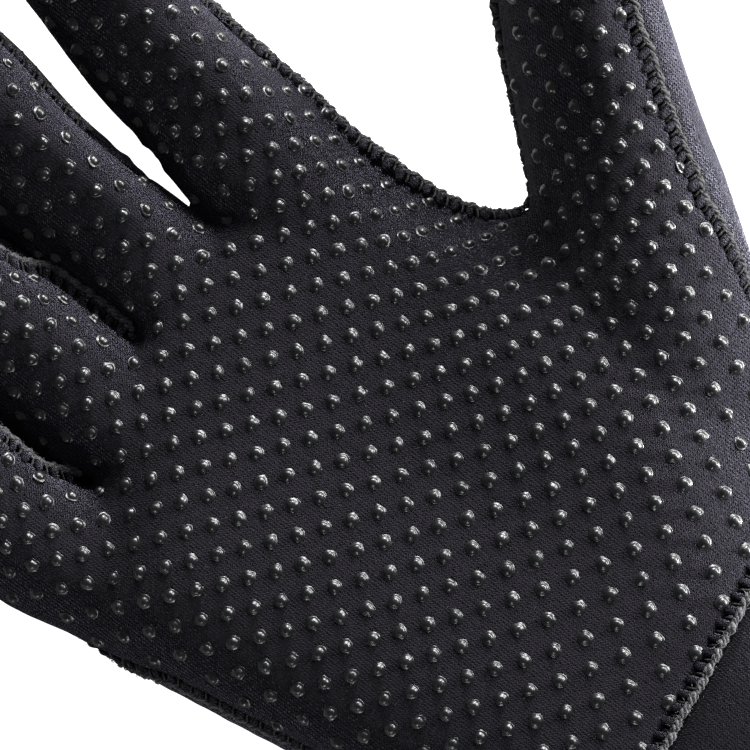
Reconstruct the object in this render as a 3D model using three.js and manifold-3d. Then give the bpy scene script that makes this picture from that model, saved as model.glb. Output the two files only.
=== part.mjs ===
// A right-hand diving glove of neoprene, lying on its back with the palm up.
// It is sewn from three panels: a palm panel that runs to the fingertips and takes in the palm side
// of the thumb, a plain cuff panel below the wrist seam, and a plain back panel of the whole length.
// Frame: millimetres, +Z up out of the palm, +Y towards the fingertips, +X towards the thumb.
// The origin is on the flat back of the hand, on the surface that the glove lies on.
import * as THREE from "three";
import { mergeVertices } from "three/addons/utils/BufferGeometryUtils.js";
import Module from "manifold-3d";

// Driving dimensions, in millimetres and degrees
const neoprene = 3; // wall: foam with a jersey face on both sides
const seamGap = 0.3; // between two panels that are sewn edge to edge
const palmWidth = 100; // across the finger roots
const palmLength = 115; // wrist seam to the crotch beside the middle finger
const palmHeight = 30; // palm to back, in the middle of the hand
const wristWidth = 79;
const wristHeight = 39;
const wristSlant = 8.5; // the wrist seam's turn away from square
const cuffLength = 62;
const cuffWidth = 86; // at the mouth
const cuffHeight = 43;
const restSink = 1.2; // how far each section is flattened where the glove rests
const fingerRestSink = 0.5;
const thumbRollBase = 34; // turn of the thumb's section about its own axis, at its root
const thumbRollTip = 50;
const pinkyDrop = 0.5; // the crotches step back by this much for each unit towards the little finger

// The origin's place along the palm, and the middle of the hand's flat back, as shares of palmLength
const originShare = 0.67;
const wristY = -originShare * palmLength;
const crotchY = wristY + palmLength;
const mouthY = wristY - cuffLength;

// Facets
const palmSides = 36;
const palmInnerSides = 28;
const digitSides = 20;
const digitInnerSides = 14;
const seamStep = 9; // spacing of the rows of the sheet that parts the palm panel from the back panel

// Fingers and thumb. rootX and rootY are shares of palmWidth and palmLength, from the origin, and
// the root is level with the crotch. heading turns from +Y towards +X. length runs from the root to
// the tip. root, knuckle and tip are widths, and flat is thickness over width. base and rise are
// the axis's height at the root and what it gains by the tip. Those lengths, widths and heights are
// shares of palmWidth. innerTilt and outerTilt place the seam: how steeply the sheet that parts the
// panels falls from the axis to the little finger's side, and climbs to the thumb's side on top of
// the digit's own roll. inside lists how the digit fades into the hand: places, in units of its
// root width, and widths and heights there as shares of those at the root.
const fingerInside = [
  { at: -1.0, width: 0.7, height: 1.1 },
  { at: -0.5, width: 0.93, height: 1.08 },
];
const littleInside = [
  { at: -1.0, width: 0.56, height: 1.1 },
  { at: -0.5, width: 0.9, height: 1.04 },
];
const thumbInside = [
  { at: -1.35, width: 0.7, height: 0.92 },
  { at: -0.85, width: 0.96, height: 0.99 },
  { at: -0.4, width: 1.03, height: 1.02 },
];
const digits = [
  { name: "index", rootX: 0.355, rootY: 0.335, heading: 6.2, length: 0.75, root: 0.276,
    knuckle: 0.242, tip: 0.214, flat: 0.88, rise: 0.07, innerTilt: 14, outerTilt: 15,
    inside: fingerInside },
  { name: "middle", rootX: 0.084, rootY: 0.345, heading: 2.4, length: 0.82, root: 0.254,
    knuckle: 0.27, tip: 0.225, flat: 0.88, rise: 0.09, innerTilt: 16, outerTilt: 11,
    inside: fingerInside },
  { name: "ring", rootX: -0.16, rootY: 0.3, heading: -3.6, length: 0.79, root: 0.244,
    knuckle: 0.25, tip: 0.21, flat: 0.92, rise: 0.13, innerTilt: 18, outerTilt: 11,
    inside: fingerInside },
  { name: "little", rootX: -0.402, rootY: 0.215, heading: -10.2, length: 0.66, root: 0.248,
    knuckle: 0.226, tip: 0.195, flat: 0.92, rise: 0.15, innerTilt: 10, outerTilt: 12,
    inside: littleInside },
  { name: "thumb", rootX: 0.678, rootY: -0.142, heading: 36.2, length: 0.63, root: 0.35,
    knuckle: 0.305, tip: 0.26, flat: 0.84, base: 0.22, rise: 0.17, rollBase: thumbRollBase,
    rollTip: thumbRollTip, innerTilt: 20, outerTilt: 14, inside: thumbInside },
].map((row) => {
  const sized = ["length", "root", "knuckle", "tip", "base", "rise"].filter((name) => name in row);
  return { ...row, ...Object.fromEntries(sized.map((name) => [name, row[name] * palmWidth])) };
});

// Sections of the palm. at runs from the wrist seam, 0, to the crotches, 1. ulnar and radial are the
// edges on the little finger's and the thumb's side, as shares of palmWidth from the origin.
// height, thenar and hollow are shares of palmHeight: the section's height, the swell at the root
// of the thumb and the dip in the middle of the palm.
const palmSections = [
  { at: 0.1, ulnar: -0.375, radial: 0.492, height: 1.25, thenar: 0.03, hollow: 0.0 },
  { at: 0.21, ulnar: -0.392, radial: 0.572, height: 1.22, thenar: 0.08, hollow: 0.03 },
  { at: 0.32, ulnar: -0.413, radial: 0.632, height: 1.19, thenar: 0.1, hollow: 0.07 },
  { at: 0.42, ulnar: -0.432, radial: 0.66, height: 1.15, thenar: 0.1, hollow: 0.1 },
  { at: 0.51, ulnar: -0.451, radial: 0.668, height: 1.11, thenar: 0.09, hollow: 0.11 },
  { at: 0.58, ulnar: -0.464, radial: 0.635, height: 1.07, thenar: 0.05, hollow: 0.11 },
  { at: 0.635, ulnar: -0.475, radial: 0.57, height: 1.02, thenar: 0.02, hollow: 0.1 },
  { at: 0.69, ulnar: -0.485, radial: 0.512, height: 0.97, thenar: 0.0, hollow: 0.08 },
  { at: 0.76, ulnar: -0.494, radial: 0.49, height: 0.91, thenar: 0.0, hollow: 0.05 },
  { at: 0.84, ulnar: -0.499, radial: 0.486, height: 0.83, thenar: 0.0, hollow: 0.02 },
  { at: 0.91, ulnar: -0.503, radial: 0.484, height: 0.755, thenar: 0.0, hollow: 0.0 },
];
const thenarX = 0.44; // the swell's middle and reach, and the dip's, as shares of palmWidth
const thenarReach = 0.2;
const hollowX = 0.12;
const hollowReach = 0.26;

// How the palm rounds off between the fingers: at as above, share is that of the last height
const palmEnd = [
  { at: 0.96, share: 0.88 },
  { at: 0.985, share: 0.7 },
  { at: 1.0, share: 0.4 },
];

// Sections of the cuff, from the mouth, 0, to the wrist seam, 1. flare says how much of the mouth's
// width and height a section has, against the wrist's.
const cuffSections = [
  { at: 0.0, flare: 1.0 },
  { at: 0.35, flare: 0.55 },
  { at: 0.7, flare: 0.15 },
  { at: 1.0, flare: 0.0 },
];
const wristUlnarShare = 0.46; // how much of the wrist lies on the little finger's side

const palmSquareness = 2.5; // exponent of the palm's and the cuff's sections
const digitSquareness = 2.25;

const { lerp, degToRad, smoothstep } = THREE.MathUtils;
const wasm = await Module();
wasm.setup();

// A closed surface through rings of as many points each, with a fan on either end
function loft(rings) {
  const sides = rings[0].length;
  const centre = (ring) => ring.reduce((sum, p) => sum.add(p), new THREE.Vector3()).divideScalar(sides);
  const points = [...rings.flat(), centre(rings[0]), centre(rings.at(-1))];
  const first = rings.length * sides;
  const index = [];
  for (let side = 0; side < sides; side++) {
    const next = (side + 1) % sides;
    for (let row = 0; row + 1 < rings.length; row++) {
      const a = row * sides;
      const b = a + sides;
      index.push(a + side, b + side, b + next, a + side, b + next, a + next);
    }
    const last = first - sides;
    index.push(first, side, next, first + 1, last + next, last + side);
  }
  return new THREE.BufferGeometry().setFromPoints(points).setIndex(index);
}

// A three.js geometry as a solid that can be joined and cut
function solidOf(geometry) {
  const bare = geometry.clone();
  bare.deleteAttribute("normal");
  bare.deleteAttribute("uv");
  const merged = mergeVertices(bare, 1e-4);
  return new wasm.Manifold(
    new wasm.Mesh({
      numProp: 3,
      vertProperties: merged.attributes.position.array,
      triVerts: new Uint32Array(merged.index.array),
    }),
  );
}

// A solid as a named mesh
function meshOf(name, solid, material) {
  const { numProp, vertProperties, triVerts } = solid.getMesh();
  const geometry = new THREE.BufferGeometry();
  geometry.setAttribute("position", new THREE.BufferAttribute(vertProperties, numProp));
  geometry.setIndex(new THREE.BufferAttribute(triVerts, 1));
  geometry.computeVertexNormals();
  const mesh = new THREE.Mesh(geometry, material);
  mesh.name = name;
  return mesh;
}

// A point of a round-cornered section at an angle, in units of its half width and half height
function corner(angle, squareness) {
  const round = (c) => Math.sign(c) * Math.abs(c) ** (2 / squareness);
  return [round(Math.cos(angle)), round(Math.sin(angle))];
}

// The palm and cuff

const swell = (x, middle, reach) => Math.exp(-(((x / palmWidth - middle) / reach) ** 2));

// Edge positions, height and relief of each section from the mouth to the crotches
const bodySections = [
  ...cuffSections.map(({ at, flare }) => {
    const width = lerp(wristWidth, cuffWidth, flare);
    return {
      y: lerp(mouthY, wristY, at),
      ulnar: -wristUlnarShare * width,
      radial: (1 - wristUlnarShare) * width,
      height: lerp(wristHeight, cuffHeight, flare),
      thenar: 0,
      hollow: 0,
      reach: 0,
      share: 1,
    };
  }),
  ...palmSections.map((row) => ({
    y: lerp(wristY, crotchY, row.at),
    ulnar: row.ulnar * palmWidth,
    radial: row.radial * palmWidth,
    height: row.height * palmHeight,
    thenar: row.thenar * palmHeight,
    hollow: row.hollow * palmHeight,
    reach: smoothstep(row.at, 0.75, 1),
    share: 1,
  })),
  ...palmEnd.map(({ at, share }) => {
    const last = palmSections.at(-1);
    return {
      y: lerp(wristY, crotchY, at),
      ulnar: last.ulnar * palmWidth,
      radial: last.radial * palmWidth,
      height: last.height * palmHeight,
      thenar: 0,
      hollow: 0,
      reach: smoothstep(at, 0.75, 1),
      share,
    };
  }),
];

// The crotches step back towards the little finger
const stepBack = (x, reach) =>
  reach * pinkyDrop * palmWidth * THREE.MathUtils.clamp(-0.04 - x / palmWidth, 0, 0.4);

// The hand's body without its digits, wall millimetres inside its outer face
function bodySolid(wall, sides) {
  const rings = bodySections.map((row, place) => {
    const middleX = (row.ulnar + row.radial) / 2;
    const halfWidth = (row.radial - row.ulnar) / 2 - wall - (1 - row.share) * halfEnd;
    const middleZ = (row.height - restSink) / 2;
    const halfHeight = ((row.height + restSink) / 2 - wall) * row.share;
    const mouthRun = wall && place === 0 ? neoprene : 0;
    return Array.from({ length: sides }, (_, side) => {
      const [across, up] = corner((2 * Math.PI * side) / sides, palmSquareness);
      const x = middleX + halfWidth * across;
      const relief =
        row.thenar * swell(x, thenarX, thenarReach) - row.hollow * swell(x, hollowX, hollowReach);
      const z = middleZ + halfHeight * up + relief * Math.max(0, up);
      const y = row.y - stepBack(x, row.reach) - wall * row.reach - mouthRun;
      return new THREE.Vector3(x, y, Math.max(z, wall));
    });
  });
  return solidOf(loft(rings));
}
const halfEnd = 6; // the palm's rounded end also draws in by this much on each side

// Fingers and thumb

const knuckleShare = 0.5; // where the knuckle's width is, along the digit
const padShare = 0.8; // where the tip's width is
const tipAngles = [28, 48, 64, 77, 86]; // places of the rings round the tip

// Places along a digit, with its width there, from inside the hand to the start of its round tip
function digitPlaces(digit) {
  const roundLength = 0.52 * digit.tip;
  return [
    ...digit.inside.map(({ at, width, height }) => ({
      s: at * digit.root,
      width: width * digit.root,
      height,
    })),
    { s: 0, width: digit.root, height: 1 },
    { s: 0.24 * digit.length, width: lerp(digit.root, digit.knuckle, 0.6), height: 1 },
    { s: knuckleShare * digit.length, width: digit.knuckle, height: 1 },
    { s: 0.68 * digit.length, width: lerp(digit.knuckle, digit.tip, 0.5), height: 1 },
    { s: digit.length - roundLength, width: digit.tip, height: 1, roundLength },
  ];
}

// A digit's width at s millimetres from its root
function widthAt(digit, s) {
  const places = digitPlaces(digit);
  const after = places.findIndex((place) => place.s >= s);
  if (after === 0) return places[0].width;
  if (after < 0) return places.at(-1).width;
  const [low, high] = [places[after - 1], places[after]];
  return lerp(low.width, high.width, (s - low.s) / (high.s - low.s));
}

const baseHeight = (digit) => digit.base ?? (digit.root * digit.flat) / 2 - fingerRestSink;

// The axis of a digit at s millimetres from its root
function axisPoint(digit, s) {
  const heading = degToRad(digit.heading);
  const along = Math.max(0, s) / digit.length;
  const fade = digit.inside.find((row) => s <= row.at * digit.root)?.height ?? 1;
  return new THREE.Vector3(
    digit.rootX * palmWidth + s * Math.sin(heading),
    digit.rootY * palmLength + s * Math.cos(heading),
    baseHeight(digit) * fade + digit.rise * along ** 1.7,
  );
}

// The turn of a digit's section about its own axis
function rollAt(digit, s) {
  const share = THREE.MathUtils.clamp(s / digit.length, 0, 1);
  const full = lerp(digit.rollBase ?? 0, digit.rollTip ?? 0, share);
  return full * smoothstep(s, -1.1 * digit.root, 0.25 * digit.root);
}

// One ring of a digit, square to its axis
function digitRing(digit, s, halfWidth, halfThick, floor, sides) {
  const at = axisPoint(digit, s);
  const ahead = axisPoint(digit, s + 1).sub(axisPoint(digit, s - 1)).normalize();
  const level = new THREE.Vector3(ahead.y, -ahead.x, 0).normalize();
  const across = level.applyAxisAngle(ahead, degToRad(-rollAt(digit, s)));
  const up = across.clone().cross(ahead);
  return Array.from({ length: sides }, (_, side) => {
    const [a, b] = corner((2 * Math.PI * side) / sides, digitSquareness);
    const p = at.clone().addScaledVector(across, a * halfWidth).addScaledVector(up, b * halfThick);
    p.z = Math.max(p.z, floor);
    return p;
  });
}

// A digit wall millimetres inside its outer face
function digitSolid(digit, wall, sides) {
  const places = digitPlaces(digit);
  const rings = places.map(({ s, width }) =>
    digitRing(digit, s, width / 2 - wall, (width * digit.flat) / 2 - wall, wall, sides),
  );
  const { s, width, roundLength } = places.at(-1);
  for (const angle of tipAngles) {
    const out = Math.sin(degToRad(angle)) * (roundLength - wall);
    const share = Math.cos(degToRad(angle));
    const halfWidth = (width / 2 - wall) * share;
    const halfThick = ((width * digit.flat) / 2 - wall) * share;
    rings.push(digitRing(digit, s + out, halfWidth, halfThick, wall, sides));
  }
  return solidOf(loft(rings));
}

// The whole glove, wall millimetres inside its outer face
const gloveSolid = (wall, bodySides, sides) =>
  digits.reduce((made, digit) => made.add(digitSolid(digit, wall, sides)), bodySolid(wall, bodySides));

const shell = gloveSolid(0, palmSides, digitSides).subtract(
  gloveSolid(neoprene, palmInnerSides, digitInnerSides),
);

// The sheet that parts the palm side from the back. It follows the seam: at half height round the
// hand, and tilted on each digit, so that the seam shows on the thumb's side and hides on the other.

const seamShare = 0.58; // the seam's height on the sides of the hand, as a share of the section's

// The height of the hand's body at y
function bodyHeight(y) {
  const after = bodySections.findIndex((row) => row.y >= y);
  if (after === 0) return bodySections[0].height;
  if (after < 0) return bodySections.at(-1).height;
  const [low, high] = [bodySections[after - 1], bodySections[after]];
  return lerp(low.height, high.height, (y - low.y) / (high.y - low.y));
}

// A point of the sheet, off millimetres beside a digit's axis, on the line across the hand at y
function seamPoint(digit, off, y) {
  const heading = degToRad(digit.heading);
  const dy = y - digit.rootY * palmLength;
  const dx = off / Math.cos(heading) + dy * Math.tan(heading);
  const s = dx * Math.sin(heading) + dy * Math.cos(heading);
  const tilt = degToRad(off < 0 ? digit.innerTilt : digit.outerTilt + rollAt(digit, s));
  const onDigit = axisPoint(digit, s).z + off * Math.tan(tilt);
  const fade = smoothstep(s, digit.inside[0].at * digit.root, digit.inside.at(-1).at * digit.root);
  const z = lerp(seamShare * bodyHeight(y), onDigit, fade);
  return new THREE.Vector3(digit.rootX * palmWidth + dx, y, z);
}

// The solid above the sheet
function palmSide() {
  const far = 2 * palmWidth;
  const top = 4 * palmHeight;
  const beside = 0.03; // half the breadth of the near-upright step between two digits
  const rows = [];
  const end = crotchY + 1.3 * Math.max(...digits.map((digit) => digit.length));
  for (let y = mouthY - seamStep; y < end + seamStep; y += seamStep) {
    const sheet = [...digits.slice(0, 4).reverse(), digits[4]].flatMap((digit) => {
      const s = (y - digit.rootY * palmLength) / Math.cos(degToRad(digit.heading));
      const reach = widthAt(digit, s) / 2;
      return [-reach, 0, reach].map((off) => seamPoint(digit, off, y));
    });
    // Where the strips of two digits cross, both end half way
    for (let edge = 2; edge + 1 < sheet.length; edge += 3) {
      const middle = (sheet[edge].x + sheet[edge + 1].x) / 2;
      sheet[edge].x = Math.max(sheet[edge - 1].x + beside, middle - beside);
      sheet[edge + 1].x = Math.min(sheet[edge + 2].x - beside, middle + beside);
    }
    const ends = [sheet[0].clone().setX(-far), sheet.at(-1).clone().setX(far)];
    const line = [ends[0], ...sheet, ends[1]];
    const lid = line.map(({ x }) => new THREE.Vector3(x, y, top)).reverse();
    rows.push([...line, ...lid]);
  }
  return solidOf(loft(rows));
}

// The near half is everything on the mouth's side of the wrist seam, moved along by shift
function cuffSide(shift) {
  const reach = 4 * palmWidth;
  const block = new THREE.BoxGeometry(reach, reach, reach).translate(0, -reach / 2 + shift, 0);
  block.rotateZ(degToRad(wristSlant));
  return solidOf(block.translate(0, wristY, 0));
}

// The largest body of a cut: crumbs that a cut leaves between two facets are dropped
const largest = (solid) => solid.decompose().reduce((a, b) => (a.volume() < b.volume() ? b : a));

const above = palmSide();
// The back panel's edge stands clear of the palm panel's both under it and across the steps
const backHalf = shell
  .subtract(above.translate([0, 0, -1.5 * seamGap]))
  .subtract(above.translate([-seamGap, 0, -1.5 * seamGap]));
const backPanel = largest(backHalf);
const palmHalf = shell.intersect(above);
const palmPanel = largest(palmHalf.subtract(cuffSide(seamGap / 2)));
const cuffPanel = largest(palmHalf.intersect(cuffSide(-seamGap / 2)));

const gripCloth = new THREE.MeshStandardMaterial({ color: 0x1d1c21, roughness: 0.78, metalness: 0 });
const plainCloth = new THREE.MeshStandardMaterial({ color: 0x1a1a20, roughness: 0.82, metalness: 0 });

const glove = new THREE.Group();
glove.add(
  meshOf("palm_panel", palmPanel, gripCloth),
  meshOf("cuff_panel", cuffPanel, plainCloth),
  meshOf("back_panel", backPanel, plainCloth),
);

export default glove;
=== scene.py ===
import math
import random

import bmesh
import bpy
import numpy as np
from mathutils import Matrix, Vector
from mathutils.bvhtree import BVHTree
from mathutils.kdtree import KDTree


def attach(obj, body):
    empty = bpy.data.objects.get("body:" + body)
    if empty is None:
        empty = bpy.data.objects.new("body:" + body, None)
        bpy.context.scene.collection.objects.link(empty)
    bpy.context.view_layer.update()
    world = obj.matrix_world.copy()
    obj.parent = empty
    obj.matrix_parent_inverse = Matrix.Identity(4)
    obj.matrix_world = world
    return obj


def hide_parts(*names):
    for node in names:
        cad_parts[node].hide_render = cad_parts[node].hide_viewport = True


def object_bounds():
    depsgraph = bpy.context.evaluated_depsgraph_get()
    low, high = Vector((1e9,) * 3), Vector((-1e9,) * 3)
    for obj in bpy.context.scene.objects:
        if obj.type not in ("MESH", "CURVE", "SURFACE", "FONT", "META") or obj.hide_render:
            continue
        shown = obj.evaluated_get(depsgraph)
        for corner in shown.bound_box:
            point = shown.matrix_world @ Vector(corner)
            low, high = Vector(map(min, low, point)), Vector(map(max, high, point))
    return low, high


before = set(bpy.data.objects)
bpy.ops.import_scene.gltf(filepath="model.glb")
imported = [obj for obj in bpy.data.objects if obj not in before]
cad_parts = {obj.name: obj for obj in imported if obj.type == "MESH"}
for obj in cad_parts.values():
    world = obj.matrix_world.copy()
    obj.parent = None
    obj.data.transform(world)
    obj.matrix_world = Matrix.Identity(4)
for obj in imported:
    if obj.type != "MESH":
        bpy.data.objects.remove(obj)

# A right-hand diving glove of black neoprene, on its back with the palm up. Lengths are in metres, and
# the values that carry MM are written in millimetres. +Y runs to the fingertips and +X to the thumb.
# Each pair that is handed to grown() holds where something starts and over what length it grows, in mm
# where nothing else is said.
MM = 0.001
cad_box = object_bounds()
SEEDS = {"grip_dots": 5, "seam_edge": 3, "seam_bars": 4, "seam_thread": 8, "seam_fuzz": 6}

# The photograph's view: straight down on the palm, turned so that the fingers point to the upper left
VIEW_RIGHT = Vector((0.616, -0.788, 0.0))
VIEW_UP = Vector((0.788, 0.616, 0.0))
VIEW_CENTRE = Vector((16.5 * MM, 0.0, 32 * MM))  # on the palm's surface
VIEW_DISTANCE = 900 * MM
VIEW_WIDTH = 129.3 * MM  # what the picture takes in at the palm's surface
SENSOR_WIDTH = 36  # mm
EYE = VIEW_CENTRE + Vector((0, 0, VIEW_DISTANCE))

# Surfaces
PANELS = ("palm_panel", "cuff_panel", "back_panel")
FUSED_VOXEL = 1.1 * MM
PANEL_VOXEL = {"palm_panel": 0.85 * MM, "cuff_panel": 0.85 * MM, "back_panel": 1.0 * MM}
SEAM_GAP_CLOSER = 0.25 * MM  # grown on each side, so that the panels fuse
SOFTEN_ROUNDS = 60
CRISP_ROUNDS = 3  # at the mouth, whose cut edge stays crisp
MOUTH_KEEP = 9 * MM
PANEL_ROUNDS = 2
CARRY_ROUNDS = 8
CARRY_FROM = 14  # points of the fused skin looked at for each point of a panel
CARRY_KEEP = 6  # nearest of those that face the same way
CARRY_ALIKE = 0.3  # least product of the two normals
CARRY_BLUR = 0.3 * MM
LEAST_HEIGHT = 0.02 * MM
SEAM_GROOVE = 1.15 * MM
SEAM_GROOVE_HALF = 1.6 * MM
STITCH_SINK = 0.62 * MM  # how far the stitches lie below the surface without its groove

# Grip dots
DOT_PROFILE = (  # radius and height in mm, from the foot up
    (1.38, -0.14),
    (1.27, 0.03),
    (1.11, 0.07),
    (0.97, 0.17),
    (0.86, 0.34),
    (0.71, 0.53),
    (0.49, 0.67),
    (0.23, 0.74),
)
DOT_TOP = 0.76
DOT_RAGGED_RINGS = (1, 2)  # rings of the foot, with an uneven edge
DOT_SIDES = 13
DOT_WIDE = (0.94, 1.05)  # least and most, as shares of the profile
DOT_TALL = (0.90, 1.08)
DOT_WAVES = (2, 3, 5)  # waves round a dot, and how deep they are
DOT_WAVE_DEPTH = (0.015, 0.06)
DOT_LEAN = 0.16
DOT_RAGGED_OUT = (-0.09, 0.13)  # as a share of the radius
DOT_RAGGED_UP = (-0.03, 0.12)  # mm
DOT_SMOOTH = 0.15  # how ragged the other rings are, against those of the foot
DOT_LEAST_UP = 0.30  # no dot where the surface is steeper than that
DOT_EDGE = 1.5 * MM  # no dot's middle is nearer to a seam
DOT_APART = 3.1 * MM

# The dots' lattice in mm, for row step i and column step j: the first dot's place, the row step and the
# column step, and what bends the palm's rows, in hundredths of mm for i * i, i * j and j * j
PALM_LATTICE = ((23.38, 4.56), (4.01, -2.86), (-3.55, -3.67))
PALM_BEND = ((2.27, 0.07), (-0.37, -0.72), (0.41, -1.49))
THUMB_LATTICE = ((1.25, 5.41), (5.00, -1.12), (-0.11, -4.92))
THUMB_SLANT = 0.31  # what a column counts against a row, on the way to the thumb
THUMB_TURN = (-1.71, 20.9)  # rows over which the palm's lattice turns into the thumb's
FINGER_TURN = (-2, 16)  # mm along a finger, over which it turns into the finger's
LATTICE_STEPS = range(-45, 46)
PALM_DOTS_X = 130  # mm to each side
PALM_DOTS_Y = (-90, 60)
FINGER_DOTS = 1.1  # half widths beside a finger, where the palm's dots stop
SKIN_DOTS = 1.5  # half widths across a finger's skin, laid flat
SEEN_DOTS = 1.02  # and as seen
TIP_DOTS = 0.6  # half widths past a finger's length

# Seam thread
SEAM_STEP = 0.4 * MM
STITCH_PITCH = 2.75 * MM
STITCH_ROOM = 3.2 * MM  # where two fingers lie closer, no thread is made
SLIT = ((14, 30), (36, 67))  # X and Y in mm of the slit by the index finger, which has none either
LEAST_RUN = 16 * MM  # shorter stretches of seam have no thread
SEAM_APART = 2.4 * MM  # from another seam's thread
PUFF_SIZE = (0.78, 1.15)  # least and most, against the rows in add_puff
PUFF_SLANT = 0.1  # mm
PUFF_SIDES = 8
PUFF_FLAT = 0.75
BAR_LEAN = 0.2  # mm
BAR_HIGH = (0.70, 1.15)
THREAD_SIDES = 6
THREAD_OFF = 0.72  # mm from the seam, away from the panel
TWIST_STRANDS = 3
TWIST_POINTS = 9
TWIST_OVERLAP = 1.25  # length of a turn, in stitches
TWIST_HIGH = (0.75, 1.20)
TWIST_DRIFT = 0.2  # mm
TWIST_UNEVEN = (0.66, 1.30)
FIBRES = 14  # for each stitch
FIBRE_RADIUS = 0.065 * MM
FIBRE_SIDES = 3
FLANK_FINGERS = ("ring", "little")  # their seam towards the thumb shows along the finger's edge
FLANK_RUN = (1.0, 48.0)  # from the root, in mm
FLANK_JOIN = 34.0  # from there on it turns down to the panels' edge
FLANK_SEARCH = (0.4, 1.4, 0.02)  # start, end and step across the finger, in half widths
FLANK_SURE = 0.65  # up to there the finger has no edge
FLANK_LEAST_UP = 0.42  # beyond the edge the surface is steeper
FLANK_PAST = -0.05  # or turns towards the next finger
FLANK_DROP = 1.5 * MM  # or lies deeper
FLANK_ROUNDS = 30
FLANK_ENDS = 8  # steps at each end without thread

# Fingers: root in mm, heading from +Y in degrees, length and half width in mm, and the step and direction
# of the dots' rows and columns, in mm and degrees
DIGITS = (
    {"name": "index", "root": (35.5, 38.5), "heading": 6.2, "length": 75, "half": 12.6,
     "row": (4.55, -43), "column": (5.35, -144)},
    {"name": "middle", "root": (8.4, 39.7), "heading": 2.4, "length": 82, "half": 12.9,
     "row": (4.6, -36), "column": (5.4, -140)},
    {"name": "ring", "root": (-16.0, 34.5), "heading": -3.6, "length": 79, "half": 12.2,
     "row": (4.3, -36), "column": (5.1, -134)},
    {"name": "little", "root": (-40.2, 24.7), "heading": -10.2, "length": 66, "half": 11.6,
     "row": (4.3, -27), "column": (5.2, -131)},
)

OWN_REACH = 1.4  # a finger's skin ends there, in half widths

# How far a finger's palm side rises towards the thumb, in mm at its edge
LEAN = {"index": 2.0, "middle": 2.0, "ring": 1.6, "little": 0.8}
LEAN_PEAK = 2.6  # scales x - x ** 3 to a height of 1
LEAN_GROWS = (-6, 22)  # along the finger
PALM_SIDE = (12, 8)  # in height

# How far the skin slides round each finger at its seams, towards the palm side, in degrees: on the
# thumb's side and on the other
SEAM_SLIDE = {"index": (14, -20), "middle": (14, 0), "ring": (0, -34), "little": (0, 0)}
SLIDE_GROWS = (2, 20)  # along the finger
SEAM_ANGLE = -22  # where the seams lie, in degrees above a finger's middle line
FINGER_RISE = {"index": 5.0, "middle": 5.0, "ring": 7.5, "little": 11.5}  # mm, over the first 60 mm
FINGER_MIDDLE = 11.2  # height in mm at the roots

# Sides that press on the next finger or stand clear of it: side (1 is the thumb's), reach in mm, and the
# stretch along the finger in mm over which it grows. A low one swells only below the finger's middle.
SIDES = (
    {"finger": "index", "side": -1, "reach": 1.2, "from": -6, "full": 4, "low": False},
    {"finger": "index", "side": -1, "reach": -2.4, "from": 24, "full": 54, "low": False},
    {"finger": "middle", "side": 1, "reach": -2.3, "from": -8, "full": 10, "low": False},
    {"finger": "middle", "side": 1, "reach": 2.8, "from": 28, "full": 54, "low": False},
    {"finger": "middle", "side": -1, "reach": 3.4, "from": 2, "full": 30, "low": True},
    {"finger": "ring", "side": 1, "reach": 0.8, "from": 8, "full": 30, "low": False},
    {"finger": "ring", "side": -1, "reach": 5.2, "from": -14, "full": 4, "low": True},
    {"finger": "little", "side": 1, "reach": 2.8, "from": 2, "full": 22, "low": False},
)

SIDE_ENDS = (0.75, 0.35)  # along the finger, as shares of its length
SIDE_GROWS = (0.05, 0.85)  # across the finger, in half widths
SIDE_LOW = (-1, 7)  # above the finger's middle line

# The back swells past the seam on the little finger's side of the hand
HEEL_SWELL = 2.7  # mm
HEEL_SWELL_HEIGHT = (12.5, 5.2)  # middle and half height in mm
HEEL_SWELL_OFF = (20, 14)  # from X = 0 towards the little finger's side
HEEL_SWELL_START = (-95, 30)  # in Y
HEEL_SWELL_END = (25, 30)

# A low swell at the root of the ring and little fingers, in mm
ROOT_SWELL = {"middle": (-32, 8), "half": 15, "height": 1.6, "above": (12, 12)}

# The palm side falls towards this edge, from the index finger round the crotch of the thumb: places in mm
# to the right of and above the picture's middle
FALL_EDGE = ((-29, 65), (-7.8, 44), (4.3, 33.6), (16.4, 26.5), (25.0, 25.9), (23.3, 47.4), (20.7, 64.7))
FALL = 5.0  # mm
FALL_REACH = (11.0, 18.0)  # mm, on the palm and on the thumb
FALL_TURN = (14, 12)  # from palm to thumb, to the right in the picture
FALL_ABOVE = (10, 10)  # in height


def smoothstep(t):
    t = np.clip(t, 0.0, 1.0)
    return t * t * (3 - 2 * t)


def grown(value, start, length):
    """0 up to the start, and 1 from that length beyond it."""
    return smoothstep((value - start) / length)


def unit_rows(rows):
    return rows / np.maximum(np.linalg.norm(rows, axis=1, keepdims=True), 1e-12)


# Mesh helpers

def object_of(name, mesh):
    thing = bpy.data.objects.new(name, mesh)
    bpy.context.scene.collection.objects.link(thing)
    return thing


def mesh_of(name, points, faces, smooth=True):
    mesh = bpy.data.meshes.new(name)
    mesh.from_pydata([tuple(p) for p in points], [], faces)
    mesh.update()
    mesh.polygons.foreach_set("use_smooth", [smooth] * len(mesh.polygons))
    return mesh


def welded(nodes, grow=0.0):
    """One mesh of copies of CAD nodes, each moved out along its normals."""
    whole = bmesh.new()
    for node in nodes:
        part = bmesh.new()
        part.from_mesh(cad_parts[node].data)
        bmesh.ops.remove_doubles(part, verts=part.verts, dist=0.001 * MM)
        part.normal_update()
        for vert in part.verts:
            vert.co += vert.normal * grow
        copy = bpy.data.meshes.new("copy")
        part.to_mesh(copy)
        part.free()
        whole.from_mesh(copy)
        bpy.data.meshes.remove(copy)
    mesh = bpy.data.meshes.new("welded")
    whole.to_mesh(mesh)
    whole.free()
    return mesh


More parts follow.
